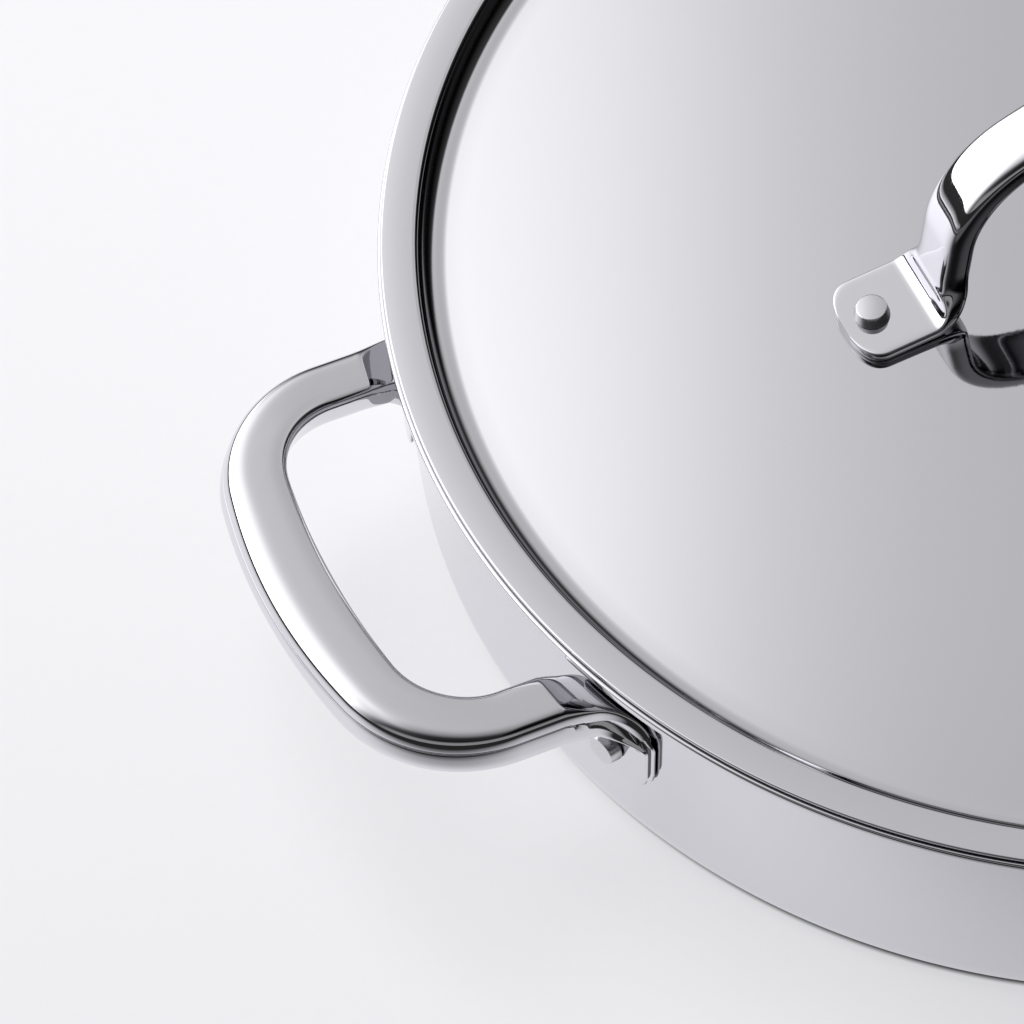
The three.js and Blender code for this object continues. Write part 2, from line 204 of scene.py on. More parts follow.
@dataclass(frozen=True)
class PolishedSteel:
    """Mirror-polished stainless steel: sharp reflections, broken by hair-fine polishing lines."""

    name: str
    colour: str
    roughness: float
    haze: float
    line_width_mm: float
    line_length_mm: float
    line_depth: float
    turn_deg: float = 0.0
    line_height_mm: float = 0.02
    cloud_mm: float = 45.0
    haze_span: Span = (0.1, 0.45)

    def build(self) -> Material:
        """Make the node material.

        Returns:
            The finished material. Stretched noise is the polishing lines: it lifts the roughness
            by the haze, in slow clouds, and tips the surface by the line depth.
        """
        material = bpy.data.materials.new(self.name)
        material.use_nodes = True
        tree = material.node_tree
        tree.nodes.clear()
        place = add_node(tree, "TexCoord").outputs["Object"]
        wide = self.line_width_mm * MM
        spread = add_node(tree, "Mapping", {
            "Vector": place, "Rotation": (0.0, 0.0, math.radians(self.turn_deg)),
            "Scale": (self.line_length_mm * MM, wide, wide),
        }, {"vector_type": "TEXTURE"})
        lines = add_node(tree, "TexNoise", {
            "Vector": spread.outputs["Vector"], "Scale": 1.0, "Detail": 3.0, "Roughness": 0.6,
        }).outputs["Fac"]
        cloud = add_node(tree, "TexNoise", {
            "Vector": place, "Scale": 1 / (self.cloud_mm * MM), "Detail": 2.0,
        })
        rough = add_node(tree, "MapRange", {
            "Value": add_math(tree, "MULTIPLY", lines, cloud.outputs["Fac"]),
            "From Min": self.haze_span[0], "From Max": self.haze_span[1],
            "To Min": self.roughness, "To Max": self.roughness + self.haze,
        })
        bump = add_node(tree, "Bump", {
            "Strength": self.line_depth, "Distance": self.line_height_mm * MM, "Height": lines,
        })
        shader = add_node(tree, "BsdfPrincipled", {
            "Base Color": linear_colour(self.colour), "Metallic": 1.0,
            "Roughness": rough.outputs["Result"], "Normal": bump.outputs["Normal"],
        })
        add_node(tree, "OutputMaterial", {"Surface": shader.outputs["BSDF"]})
        return material


@dataclass(frozen=True)
class PaleFloor:
    """Matt white studio sheet under the pan: an even pale ground that takes a soft shadow.

    In the steel its colour turns to a painted dark reflection in front of the pan and far beyond it,
    and to painted shade at each mirror after the first.
    """

    away: Vector
    name: str = "matt_white_paper"
    colour: str = "#f7f7fa"
    fibre_mm: float = 3.0
    fibre_dim: float = 0.985
    roughness: float = 0.9
    gloss: float = 0.1
    white_share: float = 0.7
    # Painted light: the floor's own light falls from the first level behind the pan to the second towards the
    # camera
    painted_falloff_mm: Span = (100.0, -200.0)
    painted_falloff_levels: Span = (1.02, 0.91)
    # Painted reflection: in mirrored rays the floor takes this dark colour in front of the pan and far beyond
    # it
    painted_reflection_colour: str = "#2a2a2a"
    painted_reflection_mm: Span = (-115.0, -235.0)
    painted_reflection_reach_mm: Span = (240.0, 470.0)
    # Painted shadow: the floor's own light stops inside this radius, a dark contact line under the base
    painted_contact_shadow_mm: Span = (132.4, 133.8)

    def build(self) -> Material:
        """Make the node material.

        Returns:
            The finished material, with a faint mottle of paper fibre in its colour. Part of its white
            is its own light, which fades towards the camera as painted light and stops under the base as a
            painted contact shadow.
        """
        material = bpy.data.materials.new(self.name)
        material.use_nodes = True
        tree = material.node_tree
        tree.nodes.clear()
        object_m = add_node(tree, "TexCoord").outputs["Object"]
        place = add_node(tree, "VectorMath", {0: object_m, "Scale": 1 / MM},
                         {"operation": "SCALE"}).outputs["Vector"]
        fibre = add_node(tree, "TexNoise", {"Vector": place, "Scale": 1 / self.fibre_mm, "Detail": 2.0})
        bright = linear_colour(self.colour)
        dim = tuple(part * self.fibre_dim for part in bright[:3]) + (1.0,)
        rgba = {"data_type": "RGBA"}
        tone = add_node(tree, "Mix", {"Factor": fibre.outputs["Fac"], "A": dim, "B": bright}, rgba)
        ahead = add_dot(tree, place, self.away)
        far = add_node(tree, "VectorMath", {0: place}, {"operation": "LENGTH"}).outputs["Value"]
        # Painted reflection: where the steel sees the floor in front of the pan or far away, it shows the
        # dark colour
        outside = add_math(tree, "MAXIMUM", add_step(tree, ahead, self.painted_reflection_mm),
                           add_step(tree, far, self.painted_reflection_reach_mm))
        # Painted shade: after the first mirror the floor turns towards the painted dark reflection colour
        lost = add_math(tree, "SUBTRACT", 1.0, add_bounce_share(tree))
        dark = add_math(tree, "MAXIMUM", outside, lost)
        path = add_node(tree, "LightPath").outputs
        shown = add_node(tree, "Mix", {
            "Factor": add_math(tree, "MULTIPLY", dark, path["Is Glossy Ray"]),
            "A": tone.outputs["Result"], "B": linear_colour(self.painted_reflection_colour),
        }, rgba).outputs["Result"]
        matt = add_node(tree, "BsdfPrincipled", {
            "Base Color": shown, "Roughness": self.roughness, "Specular IOR Level": self.gloss,
        })
        # Painted light and shadow: the floor's own light fades towards the camera and stops under the base
        glow = add_math(tree, "MULTIPLY", add_step(tree, ahead, self.painted_falloff_mm, self.painted_falloff_levels),
                        add_step(tree, far, self.painted_contact_shadow_mm))
        pale = add_node(tree, "Emission", {"Color": shown, "Strength": glow})
        seen = add_math(tree, "MAXIMUM", path["Is Camera Ray"], path["Is Glossy Ray"])
        sheet = add_node(tree, "MixShader", {
            0: add_math(tree, "MULTIPLY", seen, self.white_share),
            1: matt.outputs["BSDF"], 2: pale.outputs["Emission"],
        })
        add_node(tree, "OutputMaterial", {"Surface": sheet.outputs["Shader"]})
        return material


# Pan: a mirror with a faint haze, which softens what the wall shows of the floor
PAN_STEEL = PolishedSteel("polished_stainless_pan", "#e5e4e9", roughness=0.05, haze=0.05,
                          line_width_mm=0.35, line_length_mm=22.0, line_depth=0.04)
# Lid: the sharpest mirror, with hair-fine scratches that run aslant over the dome
LID_STEEL = PolishedSteel("polished_stainless_lid", "#e3e2e7", roughness=0.02, haze=0.03,
                          line_width_mm=0.4, line_length_mm=26.0, line_depth=0.10, turn_deg=35.0)
# Handles: a bright mirror that turns from white to black within the width of the grip
HANDLE_STEEL = PolishedSteel("polished_stainless_handle", "#e5e4e9", roughness=0.03, haze=0.03,
                             line_width_mm=0.3, line_length_mm=16.0, line_depth=0.02)
# Rivets: a satin spun face, which stays an even grey
RIVET_STEEL = PolishedSteel("spun_stainless_rivet", "#e0dfe3", roughness=0.22, haze=0.15,
                            line_width_mm=0.12, line_length_mm=0.5, line_depth=0.3)


def put_mesh(name: str, points: Array, faces: list[list[int]], sharp_deg: float = 38.0) -> bpy.types.Object:
    """Put worked-out points and faces into a smooth mesh object at the origin.

    Args:
        name: Name of the object and of its mesh.
        points: N x 3 places in millimetres.
        faces: Corner numbers of each face, anticlockwise seen from outside.
        sharp_deg: Edges that fold more than this stay crisp.

    Returns:
        The linked object.
    """
    mesh = bpy.data.meshes.new(name)
    mesh.from_pydata((points * MM).tolist(), [], faces, shade_flat=False)
    mesh.set_sharp_from_angle(angle=math.radians(sharp_deg))
    mesh.update()
    piece = bpy.data.objects.new(name, mesh)
    bpy.context.scene.collection.objects.link(piece)
    return piece


def band_faces(rows: int, columns: int) -> Array:
    """Number the quads of a grid that wraps in its columns.

    Args:
        rows: Number of rings.
        columns: Number of points in each ring.

    Returns:
        N x 4 corner numbers.
    """
    row = np.arange(rows - 1)[:, None] * columns
    column = np.arange(columns)[None, :]
    after = (column + 1) % columns
    quads = np.stack([row + column, row + after, row + columns + after, row + columns + column], axis=-1)
    return quads.reshape(-1, 4)


def revolve(name: str, outline: Array, steps: int = TURN_STEPS) -> bpy.types.Object:
    """Turn an outline about Z: the point (r, z) at angle a goes to (r cos a, r sin a, z).

    Args:
        name: Name of the object.
        outline: N x 2 radii and heights, from the lower point on the axis round to the upper one.
        steps: Number of steps in a full turn.

    Returns:
        A closed object whose two poles are single points.
    """
    angle = np.linspace(0.0, 2 * np.pi, steps, endpoint=False)
    rings = outline[1:-1]
    grid = np.stack([rings[:, :1] * np.cos(angle), rings[:, :1] * np.sin(angle),
                     np.broadcast_to(rings[:, 1:], (len(rings), steps))], axis=-1)
    poles = np.array([[0.0, 0.0, outline[0, 1]], [0.0, 0.0, outline[-1, 1]]])
    points = np.concatenate([grid.reshape(-1, 3), poles])
    count = len(rings) * steps
    here = np.arange(steps)
    after = (here + 1) % steps
    top = count - steps
    first = np.stack([np.full(steps, count), after, here], axis=1)
    last = np.stack([np.full(steps, count + 1), top + here, top + after], axis=1)
    faces = band_faces(len(rings), steps).tolist() + first.tolist() + last.tolist()
    return put_mesh(name, points, faces)


def rounded_line(corners: list[tuple[float, float, float]]) -> Array:
    """Polyline with arcs at its corners: each arc is tangent to both legs at the bend radius.

    Args:
        corners: Radius, height and bend radius of each corner; a bend of zero keeps the point.

    Returns:
        N x 2 points along the line.
    """
    spots = np.array([corner[:2] for corner in corners])
    runs: list[Array] = []
    for i, (_, _, bend) in enumerate(corners):
        if bend == 0:
            runs.append(spots[i : i + 1])
            continue
        back = spots[i - 1] - spots[i]
        ahead = spots[i + 1] - spots[i]
        back = back / np.linalg.norm(back)
        ahead = ahead / np.linalg.norm(ahead)
        half = math.acos(back @ ahead) / 2
        middle = (back + ahead) / np.linalg.norm(back + ahead)
        centre = spots[i] + middle * bend / math.sin(half)
        spoke = spots[i] + back * bend / math.tan(half) - centre
        turn = math.copysign(math.pi - 2 * half, ahead[0] * back[1] - ahead[1] * back[0])
        sweep = np.linspace(0.0, turn, BEND_STEPS + 1)
        runs.append(centre + np.stack([spoke[0] * np.cos(sweep) - spoke[1] * np.sin(sweep),
                                       spoke[0] * np.sin(sweep) + spoke[1] * np.cos(sweep)], axis=1))
    return np.concatenate(runs)


def sheet_outline(line: Array, thickness: float, edge: float) -> Array:
    """Outline of a sheet on the left of a line: the line, an elliptic edge, and the offset line back.

    Args:
        line: N x 2 points from the axis outwards.
        thickness: Thickness of the sheet.
        edge: How far the rounded edge stands out past the line's end.

    Returns:
        Closed outline from the lower point on the axis to the upper one.
    """
    legs = np.diff(line, axis=0)
    normals = np.stack([-legs[:, 1], legs[:, 0]], axis=1)
    normals = normals / np.linalg.norm(normals, axis=1, keepdims=True)
    before = np.concatenate([[[0.0, 1.0]], normals])
    after = np.concatenate([normals, normals[-1:]])
    mitre = before + after
    mitre = mitre / np.linalg.norm(mitre, axis=1, keepdims=True)
    upper = line + mitre * (thickness / np.sum(mitre * after, axis=1))[:, None]
    upper[0, 0] = 0.0
    out = legs[-1] / np.linalg.norm(legs[-1])
    swing = np.linspace(-np.pi / 2, np.pi / 2, EDGE_STEPS + 1)[1:-1, None]
    middle = (line[-1] + upper[-1]) / 2
    across = np.sign(np.sin(swing)) * np.abs(np.sin(swing)) ** EDGE_POWER
    rim = middle + across * (thickness / 2) * normals[-1] + np.cos(swing) ** EDGE_POWER * edge * out
    return np.concatenate([line, rim, upper[::-1]])


@dataclass(frozen=True)
class Move:
    """One run of a parting line: straight by its length, or a bend by its radius and angle."""

    length: float = 0.0
    radius: float = 0.0
    angle: float = 0.0
    about: BendAxis = BendAxis.ACROSS
    pitch: float = 0.75

    @property
    def run(self) -> float:
        """Length along the line."""
        return self.length if self.length else self.radius * abs(self.angle)


@dataclass(frozen=True)
class Stations:
    """Frames along a parting line: place, across and normal vectors, and distance walked."""

    place: Array
    across: Array
    normal: Array
    distance: Array

    @property
    def from_end(self) -> Array:
        """Distance of each station to the nearer end of the line, as a column."""
        return np.minimum(self.distance, self.distance[-1] - self.distance)[:, None]


def turned(vector: Array, axis: Array, angle: Array) -> Array:
    """Turn a vector about an axis: v cos a + (axis x v) sin a + axis (axis . v) (1 - cos a).

    Args:
        vector: The vector to turn.
        axis: Unit axis.
        angle: N angles.

    Returns:
        N x 3 turned vectors.
    """
    cosine = np.cos(angle)[:, None]
    sine = np.sin(angle)[:, None]
    along = axis * (axis @ vector)
    return vector * cosine + np.cross(axis, vector) * sine + along * (1 - cosine)


def walk(place: Array, travel: Array, across: Array, moves: list[Move]) -> Stations:
    """Walk a parting line: straight runs, and arcs about the across axis or about the normal.

    Args:
        place: Start of the line.
        travel: Unit direction of travel at the start.
        across: Unit direction across the ribbon at the start.
        moves: Runs in order, each with the longest step between its stations.

    Returns:
        Frames along the whole line.
    """
    places, acrosses = [place[None]], [across[None]]
    normals, distances = [np.cross(travel, across)[None]], [np.zeros(1)]
    walked = 0.0
    for move in moves:
        steps = max(2, math.ceil(move.run / move.pitch))
        share = np.arange(1, steps + 1) / steps
        if move.length:
            spots = place + travel * (share * move.length)[:, None]
            headings = np.broadcast_to(travel, spots.shape)
            sides = np.broadcast_to(across, spots.shape)
        else:
            axis = across if move.about is BendAxis.ACROSS else np.cross(travel, across)
            centre = place + np.cross(axis, travel) * math.copysign(move.radius, move.angle)
            angles = share * move.angle
            spots = centre + turned(place - centre, axis, angles)
            headings = turned(travel, axis, angles)
            sides = turned(across, axis, angles)
        places.append(spots)
        acrosses.append(sides)
        normals.append(np.cross(headings, sides))
        distances.append(walked + share * move.run)
        walked += move.run
        place, travel, across = spots[-1], headings[-1], sides[-1]
    return Stations(*map(np.concatenate, (places, acrosses, normals, distances)))


@dataclass(frozen=True)
class Section:
    """Cross-section at every station of a ribbon, each measure a column.

    The inner side is the one that the across direction points to. A seam is the share of the height
    at which the parting line lies on that side. The under power rounds the lower outer quarter alone.
    """

    half: Array
    top: Array
    belly: Array
    power: Array
    under_power: Array
    shear: Array
    shift: Array
    lift: Array
    inner_seam: Array
    outer_seam: Array
    roll: Array


@dataclass(frozen=True)
class Pressing:
    """Sheet and gaps that every pressed handle shares."""

    sheet: float = 1.15
    parting_gap: float = 0.1
    ear_gap: float = 0.3
    ear_power: float = 14.0
    end_power: float = 2.5
    end_tip: float = 0.12
    end_runs: tuple[float, float, float] = (0.06, 0.24, 0.70)
    end_steps: int = 8
    groove_width: float = 0.3
    groove_depth: float = 0.8

    def grip(self, under: float) -> float:
        """Thickness that a rivet holds: the sheet under the ear, the gap and the doubled ear."""
        return under + self.ear_gap + (2 * self.sheet + self.parting_gap)

    def ear_half(self, width: float, end: float, from_end: Array) -> Array:
        """Half width of an ear whose end is a bow: w/2 (1 - s^p)^(1/p), s falling from 1 at the tip."""
        short = np.maximum(1 - (from_end + self.end_tip) / end, 0.0)
        return width / 2 * (1 - short**self.end_power) ** (1 / self.end_power)

    def ear_moves(self, length: float, end: float) -> list[Move]:
        """Runs along an ear from its tip: fine steps in the bowed end, then the straight rest."""
        fine = [Move(length=end * share, pitch=end * share / self.end_steps) for share in self.end_runs]
        return [*fine, Move(length=length - end)]

    def shell(self, stations: Stations, section: Section, half: Half) -> tuple[Array, list[list[int]]]:
        """Carry the part of a rounded section on one side of its parting line along a ribbon.

        The section at angle a is half width times cos(a)^(2/p) across and height times sin(a)^(2/p)
        up, so that p = 2 is an ellipse and a large p a flat bar; the shear then slides each point
        across by its height, and the roll sinks it by its distance across. The edges at the parting
        line are eased by a quarter ellipse, which leaves the fine groove between the two shells.

        Args:
            stations: Frames along the line.
            section: Section at each frame.
            half: Which shell to make.

        Returns:
            Points in rings, and faces with a flat cap at each end.
        """
        first = np.arcsin(section.inner_seam ** (section.power / 2))
        last = np.pi - np.arcsin(section.outer_seam ** (section.power / 2))
        sweep = last - first if half is Half.UPPER else last - first - 2 * np.pi
        share = (1 - np.cos(np.linspace(0.0, np.pi, SECTION_STEPS + 1))) / 2
        angle = first + sweep * share
        cosine, sine = np.cos(angle), np.sin(angle)
        full = (cosine > 0) | (sine > 0)
        power = 2 / np.where(full, section.power, section.under_power)
        rise = np.sign(sine) * np.abs(sine) ** power
        side = np.sign(cosine) * np.abs(cosine) ** power
        up = rise * np.where(rise > 0, section.top, section.belly)
        over = side * section.half + section.shear * up
        from_first = np.hypot(over - over[:, :1], up - up[:, :1])
        from_last = np.hypot(over - over[:, -1:], up - up[:, -1:])
        near = np.clip(1 - np.minimum(from_first, from_last) / self.groove_width, 0.0, 1.0)
        keep = 1 - self.groove_depth * (1 - np.sqrt(1 - near**2)) / np.hypot(over, up)
        wide = over * keep + section.shift
        tall = (up - section.roll * over) * keep + section.lift + half.value * self.parting_gap / 2
        rings = (stations.place[:, None, :] + stations.across[:, None, :] * wide[..., None]
                 + stations.normal[:, None, :] * tall[..., None])
        rows, columns = rings.shape[:2]
        front = np.arange(columns)[::-1]
        back = np.arange(columns) + (rows - 1) * columns
        faces = [*band_faces(rows, columns).tolist(), front.tolist(), back.tolist()]
        if half is Half.LOWER:
            faces = [face[::-1] for face in faces]
        return rings.reshape(-1, 3), faces


def bow_angle(half_spacing: float, corner: float, bow: float, lean: float = 0.0) -> float:
    """Angle that a bowed bar turns each side of its middle: asin((half spacing - c cos l) / (b - c))."""
    return math.asin((half_spacing - corner * math.cos(lean)) / (bow - corner))


@dataclass(frozen=True)
class Rivet:
    """Rivet along its own axis: clenched tail, shank and coned head with a slightly domed satin top."""

    shank: float = 2.5
    head_base: float = 3.5
    head_top: float = 2.95
    head_height: float = 2.4
    tail: float = 5.0
    tail_height: float = 1.4
    head_gap: float = 0.03
    tail_gap: float = 0.4
    edge: float = 0.35
    crown: float = 0.2
    crown_rings: tuple[float, ...] = (0.7, 0.5, 0.3, 0.0)

    def build(self, name: str, grip: float, place: Array, axis: Array) -> bpy.types.Object:
        """Turn the rivet's outline and stand it on its axis.

        Args:
            name: Name of the piece.
            grip: Thickness of the sheets that it holds.
            place: Point on the axis at the tail's side of the grip.
            axis: Unit direction towards the head.

        Returns:
            The rivet, with its place in its mesh.
        """
        low = -self.tail_gap
        seat = grip + self.head_gap
        top = seat + self.head_height
        dome = np.linspace(0.0, np.pi / 2, TAIL_STEPS + 1)
        tail = np.stack([self.tail * np.sin(dome), low - self.tail_height * np.cos(dome)], axis=1)
        crown = [(self.head_top * share, top + self.crown * (1 - share**2), 0.0)
                 for share in self.crown_rings]
        head = rounded_line([
            (self.shank, low, 0.0),
            (self.shank, seat, 0.0),
            (self.head_base, seat, self.edge / 2),
            (self.head_top, top, self.edge),
            *crown,
        ])
        piece = revolve(name, np.concatenate([tail, head]), RIVET_STEPS)
        turn = Vector((0.0, 0.0, 1.0)).rotation_difference(Vector(axis)).to_matrix().to_4x4()
        turn.translation = Vector(place * MM)
        piece.data.transform(turn)
        return piece


def finish_piece(piece: bpy.types.Object, node: str, body: str,
                 material: Material) -> None:
    """Dress a piece and hang it on the frame in place of its CAD solid.

    Args:
        piece: The new surface.
        node: CAD node that it stands for.
        body: CAD body that it moves with.
        material: Its finish.
    """
    piece.data.materials.append(material)
    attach(piece, body)
    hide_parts(node)
    LOG.info("%s stands for %s", piece.name, node)


@dataclass
class PanBody:
    """Pan bent from one sheet: flat base, straight wall and turned-out lip."""

    wall_radius: float = 136.5
    rim_height: float = 55.1
    sheet: float = 2.0
    base_bend: float = 9.0
    lip_bend: float = 5.0
    lip_flat: float = 1.5
    edge: float = 0.7

    @property
    def rim_radius(self) -> float:
        """Radius of the lip's edge."""
        return self.wall_radius + self.lip_bend + self.lip_flat

    def wall_depth(self, offset: Array | float) -> Array:
        """Distance of the wall from the middle plane at a sideways offset: sqrt(R^2 - y^2)."""
        return np.sqrt(self.wall_radius**2 - np.square(offset))

    def build(self, material: Material) -> None:
        """Turn the sheet's outline into the pan and dress it.

        Args:
            material: Finish of the pan.
        """
        under = self.rim_height - self.sheet
        line = rounded_line([
            (0.0, 0.0, 0.0),
            (self.wall_radius, 0.0, self.base_bend),
            (self.wall_radius, under, self.lip_bend),
            (self.rim_radius - self.edge, under, 0.0),
        ])
        piece = revolve("pan_body_polished", sheet_outline(line, self.sheet, self.edge))
        finish_piece(piece, "pan_body", "pan", material)


@dataclass
class Lid:
    """Lid pressed from one sheet: falling brim, steep step down into the mouth and a low dome.

    The lid handle sits by the CAD's foot and dome. The sheet itself has the step's valley settled higher
    and the dome's top sunk a little, as in the photograph.
    """

    pan: PanBody
    sheet: float = 1.0
    setback: float = 0.7
    seat_gap: float = 0.3
    clearance: float = 1.8
    step_drop: float = 7.55
    step_top: float = 136.2
    step_deg: float = 75.0
    step_fold: float = 0.2
    step_valley: float = 5.5
    settle: float = 1.9
    apex_sink: float = 0.25
    brim_fall_deg: float = 3.5
    dome_rise: float = 15.6
    edge: float = 0.4

    @property
    def brim_under(self) -> float:
        """Height of the brim's underside."""
        return self.pan.rim_height + self.seat_gap

    @property
    def foot(self) -> Span:
        """Radius and height of the CAD step's foot, on the underside."""
        return (self.pan.wall_radius - self.pan.sheet - self.clearance, self.brim_under - self.step_drop)

    def dome_under(self, radius: Array | float) -> Array:
        """Height of the CAD dome's underside: the foot plus the rise times 1 - (r / foot radius)^2."""
        foot_radius, foot_height = self.foot
        return foot_height + self.dome_rise * (1 - np.square(radius / foot_radius))

    def build(self, material: Material) -> None:
        """Turn the sheet's outline into the lid and dress it.

        The dome's height falls from its top with the square of the radius, down to the valley, whose
        bend takes the place of the last steps.

        Args:
            material: Finish of the lid.
        """
        brim_end = self.pan.rim_radius - self.setback - self.edge
        top = self.brim_under + (brim_end - self.step_top) * math.tan(math.radians(self.brim_fall_deg))
        valley_height = self.foot[1] + self.settle
        valley_radius = self.step_top - (top - valley_height) / math.tan(math.radians(self.step_deg))
        rise = self.dome_rise - self.settle - self.apex_sink
        radius = np.linspace(0.0, valley_radius, DOME_STEPS + 1)[:-3]
        height = valley_height + rise * (1 - np.square(radius / valley_radius))
        dome = [(r, z, 0.0) for r, z in zip(radius, height)]
        line = rounded_line([
            *dome,
            (valley_radius, valley_height, self.step_valley),
            (self.step_top, top, self.step_fold),
            (brim_end, self.brim_under, 0.0),
        ])
        piece = revolve("lid_polished", sheet_outline(line, self.sheet, self.edge))
        finish_piece(piece, "lid", "lid", material)


@dataclass
class SideHandle:
    """Looped side handle: two pressed shells that pinch flat into ears riveted to the wall."""

    pan: PanBody
    pressing: Pressing = Pressing()
    rivet: Rivet = Rivet()
    drop: float = 14.6
    arm_offset: float = 43.2
    arm_length: float = 13.65
    arm_rise: float = math.radians(2.7)
    ear_tall: float = 12.7
    ear_width: float = 18.0
    ear_end: float = 5.5
    ear_offset: float = 1.6
    rivet_rise: float = 8.6
    fold: float = 6.0
    corner: float = 23.1
    bow: float = 127.3
    bar_width: float = 13.2
    arm_width: float = 10.6
    grip_depth: float = 9.4
    grip_inset: float = 1.37
    grip_lift: float = 1.92
    grip_shear: float = 0.21
    grip_roll: float = -0.065
    roll_run: float = 18.0
    arm_power: float = 4.5
    bar_power: float = 4.0
    under_bar_power: float = 2.3
    arm_seam: float = 2.8
    bar_seam: float = 4.1
    outer_seam: float = 0.95
    swell: float = 6.0
    pinch: float = 2.2
    pinch_power: float = 0.55
    crease: float = 4.8
    belly_lead: float = 0.4
    belly_margin: float = 1.0
    fold_pitch: float = 0.5
    arm_pitch: float = 0.4

    @property
    def ear_foot(self) -> float:
        """Height of the ears' lower ends."""
        return self.pan.rim_height - self.drop - self.fold * math.cos(self.arm_rise) - self.ear_tall

    def stations(self) -> Stations:
        """Walk up an ear, round the fold, out along an arm, round the loop and back the same way.

        Returns:
            Frames along the parting line of the handle on +X.
        """
        bow = bow_angle(self.arm_offset, self.corner, self.bow)
        root = [
            *self.pressing.ear_moves(self.ear_tall, self.ear_end),
            Move(radius=self.fold, angle=math.pi / 2 - self.arm_rise, pitch=self.fold_pitch),
            Move(length=self.arm_length, pitch=self.arm_pitch),
            Move(radius=self.corner, angle=math.pi / 2 - bow, about=BendAxis.NORMAL),
        ]
        bar = Move(radius=self.bow, angle=2 * bow, about=BendAxis.NORMAL)
        stand_off = self.pressing.ear_gap + self.pressing.sheet + self.pressing.parting_gap / 2
        depth = self.pan.wall_depth(self.arm_offset) + stand_off
        start = np.array([depth, -self.arm_offset, self.ear_foot])
        return walk(start, np.array([0.0, 0.0, 1.0]), np.array([0.0, 1.0, 0.0]), [*root, bar, *root[::-1]])

    def section(self, from_end: Array) -> Section:
        """Section at each distance from an ear's end: flat ear, swelling arm, full grip.

        The height above the parting line grows with a power of the distance past the fold's start, up
        to a crease across the arm, and stays full from there on.

        Args:
            from_end: Distance of each station from the nearer ear's end.

        Returns:
            The section at each station.
        """
        fold_end = self.ear_tall + self.fold * (math.pi / 2 - self.arm_rise)
        corner_start = fold_end + self.arm_length
        bow = bow_angle(self.arm_offset, self.corner, self.bow)
        middle = corner_start + self.corner * (math.pi / 2 - bow) + self.bow * bow
        swell = ramp(from_end, self.ear_tall, fold_end + self.swell)
        start = self.ear_tall + self.pinch
        pinch = np.clip((from_end - start) / (fold_end + self.crease - start), 0.0, 1.0)
        crest = blend(self.pressing.sheet, self.grip_depth / 2 + self.grip_lift, pinch**self.pinch_power)
        thick = ramp(from_end, self.ear_tall - self.belly_lead, fold_end - self.belly_margin)
        waist = ramp(from_end, self.ear_tall, fold_end)
        ear = self.pressing.ear_half(self.ear_width, self.ear_end, from_end)
        bar = ramp(from_end, corner_start, middle)
        grip = blend(self.arm_width, self.bar_width, bar) / 2
        under = blend(self.pressing.sheet, self.grip_depth / 2 - self.grip_lift, thick)
        power = blend(self.arm_power, self.bar_power, bar)
        under_power = blend(self.arm_power, self.under_bar_power, bar)
        return Section(
            half=blend(ear, grip, waist),
            top=crest - self.grip_lift * swell,
            belly=under + self.grip_lift * swell,
            power=blend(self.pressing.ear_power, power, swell),
            under_power=blend(self.pressing.ear_power, under_power, swell),
            shear=self.grip_shear * swell,
            shift=self.grip_inset * swell - self.ear_offset * (1 - waist),
            lift=self.grip_lift * swell,
            inner_seam=blend(self.arm_seam, self.bar_seam, bar) / (self.grip_depth / 2) * swell,
            outer_seam=self.outer_seam / (self.grip_depth / 2) * swell,
            roll=self.grip_roll * ramp(from_end, corner_start, corner_start + self.roll_run),
        )

    def hug_wall(self, points: Array) -> Array:
        """Slide points along X so that the ears follow the round wall and the grip stays straight.

        Args:
            points: N x 3 places on the straight handle.

        Returns:
            The places on the bent one.
        """
        depth = self.pan.wall_depth(self.arm_offset)
        share = 1 - ramp(points[:, 0] - depth, self.fold / 2, self.fold + self.arm_length)
        offset = np.minimum(np.abs(points[:, 1]), self.arm_offset + self.ear_width)
        moved = points.copy()
        moved[:, 0] += share * (self.pan.wall_depth(offset) - depth)
        return moved

    def build(self, side: str, sign: float, material: Material,
              rivet_material: Material) -> None:
        """Make one handle with its rivets and dress them.

        Args:
            side: Word in the CAD names.
            sign: +1 for the handle on +X, -1 for the one on -X.
            material: Finish of the shells.
            rivet_material: Finish of the rivets.
        """
        stations = self.stations()
        section = self.section(stations.from_end)
        turn = np.array([sign, sign, 1.0])
        for half in Half:
            node = f"{side}_handle_{half.name.lower()}_shell"
            points, faces = self.pressing.shell(stations, section, half)
            piece = put_mesh(f"{node}_polished", self.hug_wall(points) * turn, faces)
            finish_piece(piece, node, "pan", material)
        offset = self.arm_offset + self.ear_offset
        depth = self.pan.wall_depth(offset)
        for end, way in (("front", -1.0), ("back", 1.0)):
            axis = np.array([sign * depth, way * offset, 0.0]) / self.pan.wall_radius
            place = axis * (self.pan.wall_radius - self.pan.sheet)
            place[2] = self.ear_foot + self.rivet_rise
            node = f"{side}_handle_rivet_{end}"
            piece = self.rivet.build(f"{node}_spun", self.pressing.grip(self.pan.sheet), place, axis)
            finish_piece(piece, node, "pan", rivet_material)


